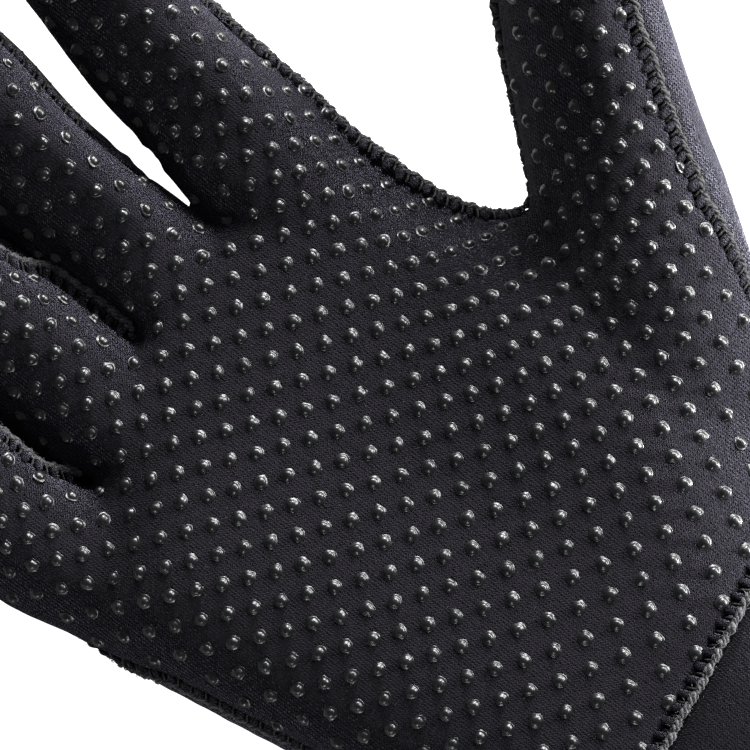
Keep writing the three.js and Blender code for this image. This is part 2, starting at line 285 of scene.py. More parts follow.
def voxel_mesh(mesh, size):
    """The mesh rebuilt from even quads of about that size."""
    thing = object_of("voxels", mesh)
    remesh = thing.modifiers.new("remesh", "REMESH")
    remesh.mode = "VOXEL"
    remesh.voxel_size = size
    remesh.use_smooth_shade = True
    graph = bpy.context.evaluated_depsgraph_get()
    made = bpy.data.meshes.new_from_object(thing.evaluated_get(graph))
    bpy.data.objects.remove(thing)
    bpy.data.meshes.remove(mesh)
    return made


def points_of(mesh):
    flat = np.zeros(len(mesh.vertices) * 3)
    mesh.vertices.foreach_get("co", flat)
    return flat.reshape(-1, 3)


def normals_of(mesh):
    flat = np.zeros(len(mesh.vertices) * 3, np.float32)
    mesh.vertex_normals.foreach_get("vector", flat)
    return flat.reshape(-1, 3).astype(float)


def set_points(mesh, points):
    mesh.vertices.foreach_set("co", points.ravel())
    mesh.update()


def edges_of(mesh):
    flat = np.zeros(len(mesh.edges) * 2, np.int32)
    mesh.edges.foreach_get("vertices", flat)
    return flat.reshape(-1, 2)


def triangles_of(mesh):
    mesh.calc_loop_triangles()
    flat = np.zeros(len(mesh.loop_triangles) * 3, np.int32)
    mesh.loop_triangles.foreach_get("vertices", flat)
    return flat.reshape(-1, 3)


def relaxed(points, edges, rounds):
    """Each point moved half way to the mean of its neighbours, again and again."""
    a, b = edges[:, 0], edges[:, 1]
    count = len(points)
    degree = np.bincount(a, minlength=count) + np.bincount(b, minlength=count)
    points = points.copy()
    for _ in range(rounds):
        for axis in range(3):
            column = points[:, axis]
            total = np.bincount(a, column[b], count) + np.bincount(b, column[a], count)
            points[:, axis] = 0.5 * column + 0.5 * total / degree
    return points


def softened(points, edges, rounds):
    """Smooths out facets and creases without thinning what is round."""
    once = relaxed(points, edges, rounds)
    return 2 * once - relaxed(once, edges, rounds)


# The fused skin: one smooth surface of the whole glove, which the panels and the seams follow

def fused_skin():
    mesh = voxel_mesh(welded(PANELS, SEAM_GAP_CLOSER), FUSED_VOXEL)
    rest = points_of(mesh)
    edges = edges_of(mesh)
    soft = softened(rest, edges, SOFTEN_ROUNDS)
    mouth_y = rest[:, 1].min()
    share = grown(rest[:, 1], mouth_y, MOUTH_KEEP)[:, None]
    crisp = softened(rest, edges, CRISP_ROUNDS)
    soft = crisp + (soft - crisp) * share
    return mesh, rest, shaped(soft)


def surface_tree(mesh):
    mesh.calc_loop_triangles()
    return BVHTree.FromPolygons(
        [v.co for v in mesh.vertices], [t.vertices for t in mesh.loop_triangles]
    )


def node_tree(names):
    mesh = welded(names)
    tree = surface_tree(mesh)
    bpy.data.meshes.remove(mesh)
    return tree


def panel_field(rest, node, others, reach=6 * MM):
    """Distance to a panel less the distance to its neighbours, at each point."""
    def distances(names):
        tree = node_tree(names)
        found = np.full(len(rest), reach)
        for k, point in enumerate(rest):
            hit = tree.find_nearest(point, reach)
            if hit[0] is not None:
                found[k] = hit[3]
        return found

    return distances([node]) - distances(others)


def contour_loops(points, normals, triangles, field):
    """Closed loops of (point, normal) where the field changes its sign, longest first."""
    inside = field > 0
    corners = inside[triangles]
    mixed = triangles[corners.any(1) & ~corners.all(1)]
    links = {}
    for tri in mixed.tolist():
        ends = [
            (min(p, q), max(p, q))
            for p, q in zip(tri, tri[1:] + tri[:1])
            if inside[p] != inside[q]
        ]
        links.setdefault(ends[0], []).append(ends[1])
        links.setdefault(ends[1], []).append(ends[0])

    def crossing(edge):
        p, q = edge
        t = field[p] / (field[p] - field[q])
        return points[p] + (points[q] - points[p]) * t, normals[p] + (normals[q] - normals[p]) * t

    loops = []
    while links:
        here = next(iter(links))
        walk = []
        while here is not None:
            walk.append(here)
            following = links.pop(here)
            here = next((e for e in following if e in links), None)
        found = [crossing(edge) for edge in walk]
        loops.append((np.array([f[0] for f in found]), np.array([f[1] for f in found])))
    return sorted(loops, key=lambda loop: -len(loop[0]))


def even_loop(loop, step, window=9):
    """The closed loop smoothed and cut into even steps: points and outward normals."""
    points, normals = loop
    lengths = np.linalg.norm(np.roll(points, -1, 0) - points, axis=1)
    total = lengths.sum()
    along = np.concatenate([[0], np.cumsum(lengths)])
    count = int(round(total / step))
    at = np.arange(count) * total / count

    def resampled(values):
        closed = np.concatenate([values, values[:1]])
        return np.stack([np.interp(at, along, closed[:, k]) for k in range(3)], 1)

    def averaged(values):
        shifts = range(-(window // 2), window // 2 + 1)
        return sum(np.roll(values, s, 0) for s in shifts) / len(shifts)

    return averaged(resampled(points)), unit_rows(averaged(resampled(normals)))


def tree_of(points):
    tree = KDTree(len(points))
    for k, point in enumerate(points):
        tree.insert(point, k)
    tree.balance()
    return tree


def digit_frame(digit):
    """A finger's root in mm, and its directions along and across."""
    root = np.array(digit["root"], float)
    angle = math.radians(digit["heading"])
    along = np.array([math.sin(angle), math.cos(angle)])
    across = np.array([math.cos(angle), -math.sin(angle)])
    return root, along, across


def middle_height(digit, run):
    """Height of a finger's middle line in mm, at places along it."""
    return FINGER_MIDDLE + FINGER_RISE[digit["name"]] * np.clip(run / 60, 0, 1.3) ** 2


def slid_round(points, digit, mine, flat):
    """Points of one finger slid round its middle line, most of all at the seams."""
    root, along, across = digit_frame(digit)
    run, off = (flat - root) @ along, (flat - root) @ across
    high = points[:, 2] / MM - middle_height(digit, run)
    angle = np.degrees(np.arctan2(high, np.abs(off)))
    lag = (angle - SEAM_ANGLE) / np.where(angle > SEAM_ANGLE, 90 - SEAM_ANGLE, 90 + SEAM_ANGLE)
    bump = np.cos(np.clip(lag, -1, 1) * math.pi / 2) ** 2
    thumb_side, other_side = SEAM_SLIDE[digit["name"]]
    share = grown(run, *SLIDE_GROWS) * mine * bump
    turn = np.radians(share * np.where(off > 0, thumb_side, other_side))
    reach = np.hypot(off, high)
    now = np.radians(angle) + turn
    slide = np.sign(off) * reach * np.cos(now) - off
    lift = reach * np.sin(now) - high
    points[:, :2] += np.outer(slide, across) * MM
    points[:, 2] += lift * MM


def shaped(points):
    """Points of the skin with the fingers slid round, leaning and filled out or drawn in."""
    points = points.copy()
    flat = points[:, :2] / MM
    offs = []
    for digit in DIGITS:
        root, _, across = digit_frame(digit)
        offs.append(np.abs((flat - root) @ across) / digit["half"])
    owner = np.argmin(offs, axis=0)
    owned = [(owner == number) & (off < OWN_REACH) for number, off in enumerate(offs)]
    for mine, digit in zip(owned, DIGITS):
        slid_round(points, digit, mine, flat)
    flat = points[:, :2] / MM
    for mine, digit in zip(owned, DIGITS):
        root, along, across = digit_frame(digit)
        run, off = (flat - root) @ along, (flat - root) @ across / digit["half"]
        share = grown(run, *LEAN_GROWS) * mine * grown(points[:, 2] / MM, *PALM_SIDE)
        lean = LEAN_PEAK * LEAN[digit["name"]] * MM
        points[:, 2] += share * np.clip(off, -1, 1) * (1 - np.clip(off * off, 0, 1)) * lean
        for side in SIDES:
            if side["finger"] != digit["name"]:
                continue
            share = grown(run, side["from"], side["full"] - side["from"])
            share = share * (1 - grown(run / digit["length"], *SIDE_ENDS))
            share = share * grown(off * side["side"], *SIDE_GROWS) * mine
            if side["low"]:
                high = points[:, 2] / MM - middle_height(digit, run)
                share = share * (1 - grown(high, *SIDE_LOW))
            points[:, :2] += np.outer(share * side["reach"] * side["side"] * MM, across)
    add_swells(points)
    add_fall(points)
    points[:, 2] = np.maximum(points[:, 2], LEAST_HEIGHT)
    return points


def add_swells(points):
    """The heel of the hand fuller on the little finger's side, and a low swell at the last roots."""
    middle, half = HEEL_SWELL_HEIGHT
    share = grown(-points[:, 0] / MM, *HEEL_SWELL_OFF)
    share = share * np.exp(-(((points[:, 2] / MM - middle) / half) ** 2))
    up = points[:, 1] / MM
    share = share * grown(up, *HEEL_SWELL_START) * (1 - grown(up, *HEEL_SWELL_END))
    points[:, 0] -= share * HEEL_SWELL * MM
    away = np.linalg.norm(points[:, :2] / MM - np.array(ROOT_SWELL["middle"]), axis=1)
    away = away / ROOT_SWELL["half"]
    share = np.exp(-away * away) * grown(points[:, 2] / MM, *ROOT_SWELL["above"])
    points[:, 2] += share * ROOT_SWELL["height"] * MM


def add_fall(points):
    """The palm side falling away towards the index finger's edge and the crotch of the thumb."""
    seen = (points - np.array(VIEW_CENTRE)) / MM
    right, up = seen @ np.array(VIEW_RIGHT), seen @ np.array(VIEW_UP)
    away = np.full(len(points), np.inf)
    for start, end in zip(FALL_EDGE, FALL_EDGE[1:]):
        run = np.subtract(end, start)
        off_right, off_up = right - start[0], up - start[1]
        share = np.clip((off_right * run[0] + off_up * run[1]) / (run @ run), 0, 1)
        away = np.minimum(away, np.hypot(off_right - share * run[0], off_up - share * run[1]))
    near, far = FALL_REACH
    reach = near + (far - near) * grown(right, *FALL_TURN)
    share = np.clip(1 - away / reach, 0, 1) ** 2 * grown(points[:, 2] / MM, *FALL_ABOVE)
    points[:, 2] -= share * FALL * MM


# The panels

def panel_skin(node, name, rest_tree, rest_normals, shift, seam_tree):
    """The panel's surface, carried along by the fused skin and drawn in along its seams."""
    mesh = voxel_mesh(welded([node]), PANEL_VOXEL[node])
    rest = points_of(mesh)
    facing = normals_of(mesh)
    edges = edges_of(mesh)
    carried = np.zeros_like(rest)
    for k, point in enumerate(rest):
        found = rest_tree.find_n(point, CARRY_FROM)
        alike = rest_normals[[n[1] for n in found]] @ facing[k] > CARRY_ALIKE
        near = [n for n, good in zip(found, alike) if good][:CARRY_KEEP] or found[:CARRY_KEEP]
        weights = np.array([1 / (n[2] ** 2 + CARRY_BLUR ** 2) for n in near])
        carried[k] = weights @ shift[[n[1] for n in near]] / weights.sum()
    moved = relaxed(rest, edges, PANEL_ROUNDS) + relaxed(carried, edges, CARRY_ROUNDS)
    set_points(mesh, moved)
    normals = normals_of(mesh)
    for k, point in enumerate(moved):
        near = seam_tree.find(point)
        if near[2] < 3 * SEAM_GROOVE_HALF:
            moved[k] -= normals[k] * SEAM_GROOVE * math.exp(-((near[2] / SEAM_GROOVE_HALF) ** 2))
    moved[:, 2] = np.maximum(moved[:, 2], LEAST_HEIGHT)
    set_points(mesh, moved)
    thing = object_of(name, mesh)
    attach(thing, "root")
    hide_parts(node)
    return thing


# The grip dots: a lattice printed on the palm panel

def direction(length, degrees):
    angle = math.radians(degrees)
    return np.array([length * math.cos(angle), length * math.sin(angle)])


def palm_dot(i, j):
    """Place of a dot on the palm and the thumb, in mm, for row step i and column step j."""
    first, row, column = np.array(PALM_LATTICE)
    bend_row, bend_both, bend_column = np.array(PALM_BEND)
    bend = bend_row * i * i + bend_both * i * j + bend_column * j * j
    palm = first + row * i + column * j + bend / 100
    first, row, column = np.array(THUMB_LATTICE)
    thumb = first + row * i + column * j
    share = grown(i - THUMB_SLANT * j, *THUMB_TURN)
    return palm + (thumb - palm) * share


def lattice_place(target):
    """The fractional row and column of a place on the palm."""
    spot = np.zeros(2)
    rounds, nudge = 30, 0.01
    for _ in range(rounds):
        here = palm_dot(*spot)
        slope = np.stack([palm_dot(spot[0] + nudge, spot[1]) - here,
                          palm_dot(spot[0], spot[1] + nudge) - here], 1) / nudge
        spot = spot + np.linalg.solve(slope, target - here)
    return spot


def nearest_digit(spot):
    """How far a place lies across the nearest finger, in half widths, and along it, in mm."""
    found = []
    for digit in DIGITS:
        root, along, across = digit_frame(digit)
        found.append((abs((spot - root) @ across) / digit["half"], (spot - root) @ along))
    return min(found)


def dot_places():
    """Places of all dots in mm, as seen from the camera at the palm's level."""
    places = []
    low, high = PALM_DOTS_Y
    for i in LATTICE_STEPS:
        for j in LATTICE_STEPS:
            spot = palm_dot(i, j)
            off, run = nearest_digit(spot)
            on_finger = run > 0 and (off < FINGER_DOTS or spot[0] < DIGITS[0]["root"][0])
            if not on_finger and abs(spot[0]) < PALM_DOTS_X and low < spot[1] < high:
                places.append(spot)
    for digit in DIGITS:
        root, along, across = digit_frame(digit)
        i0, j0 = lattice_place(root)
        row = direction(*digit["row"])
        column = direction(*digit["column"])
        half = digit["half"]
        end = digit["length"] + TIP_DOTS * half
        for i in LATTICE_STEPS:
            for j in LATTICE_STEPS:
                flat = (i - i0) * row + (j - j0) * column
                run, off = flat @ along, flat @ across
                if not -half < run < end or abs(off) > SKIN_DOTS * half:
                    continue
                wrapped = root + along * run + across * half * math.sin(off / half)
                share = grown(run, *FINGER_TURN)
                spot = palm_dot(i, j) * (1 - share) + wrapped * share
                if (spot - root) @ along > 0 and abs((spot - root) @ across) < SEEN_DOTS * half:
                    places.append(spot)
    return places


def dot_mesh(skin, seam_tree):
    rng = random.Random(SEEDS["grip_dots"])
    tree = surface_tree(skin.data)
    kept = []
    points, faces = [], []
    for x, y in dot_places():
        aim = Vector((x * MM, y * MM, VIEW_CENTRE.z)) - EYE
        place, normal, _, _ = tree.ray_cast(EYE, aim.normalized())
        if place is None or normal.z < DOT_LEAST_UP:
            continue
        if seam_tree.find(place)[2] < DOT_EDGE:
            continue
        if any((place - other).length < DOT_APART for other in kept):
            continue
        kept.append(place)
        add_dot(points, faces, place, normal, rng)
    return mesh_of("grip_dots", points, faces)


def add_dot(points, faces, place, normal, rng):
    """One domed dot on a thin foot, a little uneven as printed silicone is."""
    turn = normal.to_track_quat("Z", "Y").to_matrix()
    wide = rng.uniform(*DOT_WIDE)
    tall = rng.uniform(*DOT_TALL)
    waves = [(k, rng.uniform(0, 2 * math.pi), rng.uniform(*DOT_WAVE_DEPTH)) for k in DOT_WAVES]
    lean = Vector((rng.uniform(-DOT_LEAN, DOT_LEAN), rng.uniform(-DOT_LEAN, DOT_LEAN), 0))
    start = len(points)
    for ring, (radius, height) in enumerate(DOT_PROFILE):
        ragged = 1.0 if ring in DOT_RAGGED_RINGS else DOT_SMOOTH
        for side in range(DOT_SIDES):
            angle = 2 * math.pi * side / DOT_SIDES
            wavy = 1 + sum(size * math.cos(k * angle + phase) for k, phase, size in waves)
            local = Vector((math.cos(angle), math.sin(angle), 0)) * radius * wavy * wide
            local *= 1 + ragged * rng.uniform(*DOT_RAGGED_OUT)
            above = height * tall + ragged * rng.uniform(*DOT_RAGGED_UP)
            local += lean * max(height, 0) + Vector((0, 0, above))
            points.append(place + turn @ local * MM)
    points.append(place + turn @ (lean * DOT_TOP + Vector((0, 0, DOT_TOP * tall))) * MM)
    for ring in range(len(DOT_PROFILE) - 1):
        low = start + ring * DOT_SIDES
        for side in range(DOT_SIDES):
            right = (side + 1) % DOT_SIDES
            faces.append((low + side, low + right, low + DOT_SIDES + right, low + DOT_SIDES + side))
    last = start + (len(DOT_PROFILE) - 1) * DOT_SIDES
    for side in range(DOT_SIDES):
        faces.append((last + side, last + (side + 1) % DOT_SIDES, len(points) - 1))
    faces.append(tuple(start + side for side in reversed(range(DOT_SIDES))))


# The seam thread

def add_tube(points, faces, path, radii, sides, flat, ups):
    """A closed tube along the path. flat is its height as a share of its breadth."""
    start = len(points)
    last = len(path) - 1
    for k, centre in enumerate(path):
        ahead = (path[min(k + 1, last)] - path[max(k - 1, 0)]).normalized()
        up = ups[k]
        side = ahead.cross(up).normalized()
        up = side.cross(ahead)
        for s in range(sides):
            angle = 2 * math.pi * s / sides
            out = side * (math.cos(angle) * radii[k])
            points.append(centre + out + up * (math.sin(angle) * radii[k] * flat))
    for k in range(last):
        for s in range(sides):
            a = start + k * sides + s
            b = start + k * sides + (s + 1) % sides
            faces.append((a, b, b + sides, a + sides))
    faces.append(tuple(start + s for s in reversed(range(sides))))
    faces.append(tuple(start + last * sides + s for s in range(sides)))


class SeamLine:
    """A seam in even steps. at(s, b, n) is s along it, b outward across it and n above it."""

    def __init__(self, points, normals, step):
        self.points, self.normals, self.step = points, normals, step
        self.count = len(points)
        ahead = unit_rows(np.roll(points, -3, 0) - np.roll(points, 3, 0))
        self.across = unit_rows(np.cross(normals, ahead))
        self.shown = np.ones(self.count, bool)

    def at(self, s, b, n):
        place = (s / self.step) % self.count
        k = int(place)
        t = place - k
        m = (k + 1) % self.count

        def mixed(rows):
            return Vector(rows[k] * (1 - t) + rows[m] * t)

        normal = mixed(self.normals)
        return mixed(self.points) + mixed(self.across) * b + normal * (n - STITCH_SINK), normal


def panel_line(loop, node, skin_tree):
    """The seam round a panel, across pointing away from the panel, with the crowded places marked."""
    points, normals = even_loop(loop, SEAM_STEP)
    line = SeamLine(points, normals, SEAM_STEP)
    panel_tree = node_tree([node])
    aside, every, clear = 2 * MM, 25, 0.5 * MM
    tries = [line.points[k] + side * aside * line.across[k] for side in (-1, 1)
             for k in range(0, line.count, every)]
    gaps = np.array([panel_tree.find_nearest(Vector(place))[3] for place in tries]).reshape(2, -1)
    if gaps[0].sum() > gaps[1].sum():
        line.across = -line.across
    for k, (place, normal) in enumerate(zip(points, normals)):
        start = Vector(place + normal * clear)
        tight = skin_tree.ray_cast(start, Vector(normal), STITCH_ROOM)[0] is not None
        in_slit = all(low < value / MM < high for (low, high), value in zip(SLIT, place))
        line.shown[k] = not tight and not in_slit
    return line


def flank_line(digit, skin_tree, panel_edge):
    """The seam along a finger's thumb side, where the camera sees the finger's edge."""
    root, along, across = digit_frame(digit)
    outward = Vector((across[0], across[1], 0))
    points, normals = [], []
    for run in np.arange(*FLANK_RUN, SEAM_STEP / MM):
        found = None
        for off in np.arange(*FLANK_SEARCH) * digit["half"]:
            spot = root + along * run + across * off
            aim = Vector((spot[0] * MM, spot[1] * MM, VIEW_CENTRE.z)) - EYE
            place, normal, _, _ = skin_tree.ray_cast(EYE, aim.normalized())
            edge = place is None or normal.z < FLANK_LEAST_UP or normal.dot(outward) < FLANK_PAST
            if off > FLANK_SURE * digit["half"] and (edge or place.z < found[0].z - FLANK_DROP):
                break
            if place is not None:
                found = place, normal
        share = grown(run, FLANK_JOIN, FLANK_RUN[1] - FLANK_JOIN)
        joined = found[0].lerp(panel_edge.find(found[0])[0], float(share))
        place, normal, _, _ = skin_tree.find_nearest(joined)
        points.append(np.array(place))
        normals.append(np.array(normal))
    for _ in range(FLANK_ROUNDS):
        points[1:-1] = [(a + b + c) / 3 for a, b, c in zip(points, points[1:], points[2:])]
        normals[1:-1] = [(a + b + c) / 3 for a, b, c in zip(normals, normals[1:], normals[2:])]
    line = SeamLine(np.array(points), unit_rows(np.array(normals)), SEAM_STEP)
    if (line.across @ np.array(outward)).sum() < 0:
        line.across = -line.across
    return line


def seam_path(line, s0, rows):
    """Points and outward directions along rows of (along, across, above) in mm from s0."""
    spots = [line.at(s0 + s * MM, b * MM, n * MM) for s, b, n in rows]
    return [spot[0] for spot in spots], [spot[1] for spot in spots]


def stitched(name, stretches, add_stitch):
    """One object with all stitches along stretches of seam: (line, start, length)."""
    rng = random.Random(SEEDS[name])
    points, faces = [], []
    for line, first, length in stretches:
        count = int(round(length / STITCH_PITCH))
        for k in range(count):
            add_stitch(points, faces, line, first + k * length / count, length / count, rng)
    return object_of(name, mesh_of(name, points, faces))


def add_puff(points, faces, line, s0, pitch, rng):
    """The panel's edge, bulging between two bars of thread."""
    size = rng.uniform(*PUFF_SIZE)
    slant = rng.uniform(-PUFF_SLANT, PUFF_SLANT)
    rows = [  # along, across and above in mm, radius in mm
        (-0.34, -2.10, -0.15, 0.46),
        (-0.30, -1.60, 0.10, 0.66),
        (-0.18 + slant, -1.00, 0.14, 0.80),
        (slant, -0.35, 0.12, 0.88),
        (0.14 + slant, 0.30, 0.00, 0.90),
        (0.24, 0.90, -0.25, 0.80),
    ]
    path, ups = seam_path(line, s0, [row[:3] for row in rows])
    add_tube(points, faces, path, [row[3] * size * MM for row in rows], PUFF_SIDES, PUFF_FLAT, ups)


def add_bar(points, faces, line, s0, pitch, rng):
    """Thread pulled down into the needle hole and over the seam."""
    lean = rng.uniform(-BAR_LEAN, BAR_LEAN)
    high = rng.uniform(*BAR_HIGH)
    bar = [  # along, across and above in mm, radius in mm
        (-0.45, -1.55, -0.70, 0.20),
        (-0.36, -1.15, -0.35, 0.25),
        (-0.22 + lean, -0.65, 0.05 * high, 0.28),
        (-0.02 + lean, -0.05, 0.30 * high, 0.28),
        (0.18 + lean, 0.55, 0.38 * high, 0.32),
        (0.38, 1.05, 0.30, 0.34),
    ]
    path, ups = seam_path(line, s0 + pitch / 2, [row[:3] for row in bar])
    add_tube(points, faces, path, [row[3] * MM for row in bar], THREAD_SIDES, 1.0, ups)


def add_twist(points, faces, line, s0, pitch, rng):
    """One lumpy turn of the loose twisted thread along the seam's far edge."""
    high = rng.uniform(*TWIST_HIGH)
    drift = rng.uniform(-TWIST_DRIFT, TWIST_DRIFT)
    last = TWIST_POINTS - 1
    for strand in range(TWIST_STRANDS):
        rows, radii = [], []
        for step in range(TWIST_POINTS):
            t = step / last
            phase = 2 * math.pi * (t + strand / TWIST_STRANDS)
            swell = math.sin(math.pi * t) ** 2
            around = 0.26 + 0.22 * swell * high
            rows.append((
                (t - 0.5) * pitch * TWIST_OVERLAP / MM + rng.uniform(-0.08, 0.08),
                THREAD_OFF + drift + around * math.cos(phase) + rng.uniform(-0.09, 0.09),
                0.28 + (0.16 + 0.16 * swell) * math.sin(phase) + rng.uniform(-0.07, 0.07),
            ))
            radii.append((0.27 + 0.20 * swell) * rng.uniform(*TWIST_UNEVEN) * MM)
        path, ups = seam_path(line, s0, rows)
        add_tube(points, faces, path, radii, THREAD_SIDES, 1.0, ups)


def add_fuzz(points, faces, line, s0, pitch, rng):
    """Loose fibres that stand out of the twisted thread."""
    for _ in range(FIBRES):
        along = rng.uniform(-1.3, 1.3)
        across = THREAD_OFF + rng.uniform(-1.0, 0.75)
        above = 0.35 + rng.uniform(-0.1, 0.35)
        run, reach, lift = rng.uniform(-0.9, 1.0), rng.uniform(-0.7, 0.6), rng.uniform(0.1, 0.5)
        rows = [
            (along + run * t, across + reach * t * t, above + lift * math.sin(2.6 * t))
            for t in (0, 0.35, 0.7, 1.0)
        ]
        path, ups = seam_path(line, s0, rows)
        add_tube(points, faces, path, [FIBRE_RADIUS] * len(rows), FIBRE_SIDES, 1.0, ups)


def outer_runs(line, taken):
    """Stretches of a seam on the glove's outside that no other seam's thread covers."""
    middle = (cad_box[0] + cad_box[1]) / 2
    axis = np.array([0.0, 0.0, middle.z])
    outward = line.points - axis
    outward[:, 1] = 0
    free = line.shown.copy()
    if taken is not None:
        free &= (outward * line.normals).sum(1) > 0
        for k, point in enumerate(line.points):
            if free[k] and taken.find(point)[2] < SEAM_APART:
                free[k] = False
    start = int(np.argmin(free))
    runs, first = [], None
    for k in range(start, start + line.count + 1):
        if free[k % line.count] and k < start + line.count:
            first = k if first is None else first
        elif first is not None:
            runs.append((line, first * line.step, (k - first) * line.step))
            first = None
    return [run for run in runs if run[2] > LEAST_RUN]


# Materials

KNIT_WALE = 0.58 * MM  # breadth of a column of stitches
KNIT_COURSE = 0.54 * MM  # height of a stitch
KNIT_SHAKE = (0.8 * MM, 0.42 * MM)  # size and amount of the knit's unevenness
KNIT_TURNS = (0.68, 0.76)  # the sideways normal at which the knit is laid on from the side
CLOTH_TONES = (0.30, 2.1)  # darkest and lightest specks, as shares of the base colour
PAINTED_LIGHT_WRIST = (-48 * MM, -64 * MM)  # Y from which, and from where in full, the thread's colour is painted paler, as painted light
PAINTED_LIGHT_FINGERS = (18 * MM, 2 * MM)  # the same in X
THREAD_SHADE_SHARE = 0.28  # the thread's colour elsewhere, as a share: painted darker than where its seams are lit
FLOOR_GLOW = 1.3  # seen by the camera alone, so that the floor is white
WORLD_LIGHT = 0.08


def new_material(name):
    material = bpy.data.materials.new(name)
    material.use_nodes = True
    tree = material.node_tree
    shader = tree.nodes["Principled BSDF"]
    return material, tree, shader


def add_node(tree, kind, settings=None, **inputs):
    node = tree.nodes.new(kind)
    for key, value in (settings or {}).items():
        setattr(node, key, value)
    for key, value in inputs.items():
        socket = node.inputs[int(key[1:])] if key[0] == "i" and key[1:].isdigit() else node.inputs[key]
        if isinstance(value, bpy.types.NodeSocket):
            tree.links.new(value, socket)
        else:
            socket.default_value = value
    return node


def maths(tree, operation, a, b=None):
    inputs = {"i0": a}
    if b is not None:
        inputs["i1"] = b
    return add_node(tree, "ShaderNodeMath", {"operation": operation}, **inputs).outputs[0]


def noise(tree, where, size, detail, output="Fac", **more):
    """Noise with features of that size."""
    node = add_node(tree, "ShaderNodeTexNoise", Vector=where, Scale=1 / size, Detail=detail, **more)
    return node.outputs[output]


def bumped(tree, height, distance, strength, **more):
    node = add_node(tree, "ShaderNodeBump", Strength=strength, Distance=distance, Height=height, **more)
    return node.outputs["Normal"]


def ranged(tree, value, low, high):
    """0 to 1 as the value goes from low to high."""
    limits = {"From Min": low, "From Max": high}
    smooth = {"interpolation_type": "SMOOTHSTEP"}
    return add_node(tree, "ShaderNodeMapRange", smooth, Value=value, **limits).outputs["Result"]


def two_tones(tree, value, dark, light):
    """A ramp between two (position, colour) pairs."""
    ramp = add_node(tree, "ShaderNodeValToRGB", Fac=value)
    for element, (position, colour) in zip(ramp.color_ramp.elements, (dark, light)):
        element.position = position
        element.color = (*colour, 1)
    return ramp.outputs["Color"]


def knit_height(tree, across, along):
    """Height of a plain knit: columns of small V-shaped stitches."""
    column = maths(tree, "FRACT", maths(tree, "DIVIDE", across, KNIT_WALE))
    off = maths(tree, "ABSOLUTE", maths(tree, "SUBTRACT", column, 0.5))
    course = maths(tree, "DIVIDE", along, KNIT_COURSE)
    rise = maths(tree, "ADD", course, maths(tree, "MULTIPLY", off, 1.5))
    loops = maths(tree, "SINE", maths(tree, "MULTIPLY", rise, 2 * math.pi))
    ridge = maths(tree, "SUBTRACT", 1.0, maths(tree, "MULTIPLY", off, 2.0))
    return maths(tree, "MULTIPLY", maths(tree, "ADD", loops, 1.4), maths(tree, "ADD", ridge, 0.3))


def shaken(tree, where, size, amount):
    """Coordinates pushed about at random over that size."""
    colour = noise(tree, where, size, 1.0, "Color")
    middle = (0.5, 0.5, 0.5)
    centred = add_node(tree, "ShaderNodeVectorMath", {"operation": "SUBTRACT"}, i0=colour, i1=middle)
    push = add_node(
        tree, "ShaderNodeVectorMath", {"operation": "SCALE"}, i0=centred.outputs[0], Scale=amount
    ).outputs[0]
    return add_node(tree, "ShaderNodeVectorMath", {"operation": "ADD"}, i0=where, i1=push).outputs[0]


def neoprene(name, base, gloss, sheen, tint, coarse):
    """Black knitted nylon laminated on foam rubber, with a violet-grey bloom at grazing angles."""
    material, tree, shader = new_material(name)
    where = add_node(tree, "ShaderNodeTexCoord").outputs["Object"]
    axes = add_node(tree, "ShaderNodeSeparateXYZ", Vector=shaken(tree, where, *KNIT_SHAKE)).outputs
    normal = add_node(tree, "ShaderNodeNewGeometry").outputs["Normal"]
    facing = add_node(tree, "ShaderNodeSeparateXYZ", Vector=normal).outputs["X"]
    sideways = maths(tree, "ABSOLUTE", facing)
    side_share = ranged(tree, sideways, *KNIT_TURNS)
    top = knit_height(tree, axes["X"], axes["Y"])
    side = knit_height(tree, axes["Z"], axes["Y"])
    weave = add_node(tree, "ShaderNodeMix", Factor=side_share, A=top, B=side).outputs[0]
    grain = noise(tree, where, 0.75 * MM, 2.0)
    lumps = noise(tree, where, 6 * MM, 3.0)
    patch = noise(tree, where, 38 * MM, 2.0)
    height = maths(tree, "ADD", maths(tree, "MULTIPLY", weave, 0.75), maths(tree, "MULTIPLY", grain, 1.5))
    fine = bumped(tree, height, coarse, 1.0)
    rough = bumped(tree, lumps, 0.35 * MM, 0.5, Normal=fine)
    speck = maths(tree, "MULTIPLY", maths(tree, "ADD", maths(tree, "MULTIPLY", weave, 0.42), grain), 0.5)
    mixed = maths(tree, "ADD", maths(tree, "MULTIPLY", speck, 0.75), maths(tree, "MULTIPLY", patch, 0.35))
    dark, light = [[c * share for c in base] for share in CLOTH_TONES]
    colour = two_tones(tree, mixed, (0.30, dark), (0.75, light))
    tree.links.new(colour, shader.inputs["Base Color"])
    tree.links.new(rough, shader.inputs["Normal"])
    shader.inputs["Roughness"].default_value = 0.72
    shader.inputs["Specular IOR Level"].default_value = gloss
    shader.inputs["Specular Tint"].default_value = (0.90, 0.84, 1.0, 1)
    shader.inputs["Sheen Weight"].default_value = sheen
    shader.inputs["Sheen Roughness"].default_value = 0.30
    shader.inputs["Sheen Tint"].default_value = (*tint, 1)
    return material


def dot_rubber():
    """Glossy black silicone, a little rough."""
    material, tree, shader = new_material("grip_dots")
    where = add_node(tree, "ShaderNodeTexCoord").outputs["Object"]
    dimples = noise(tree, where, 0.6 * MM, 2.0)
    bump = bumped(tree, dimples, 0.15 * MM, 0.45)
    colour = two_tones(tree, dimples, (0.0, (0.005, 0.005, 0.006)), (1.0, (0.018, 0.019, 0.021)))
    tree.links.new(colour, shader.inputs["Base Color"])
    tree.links.new(bump, shader.inputs["Normal"])
    shader.inputs["Roughness"].default_value = 0.34
    shader.inputs["IOR"].default_value = 1.7
    shader.inputs["Specular IOR Level"].default_value = 0.64
    return material


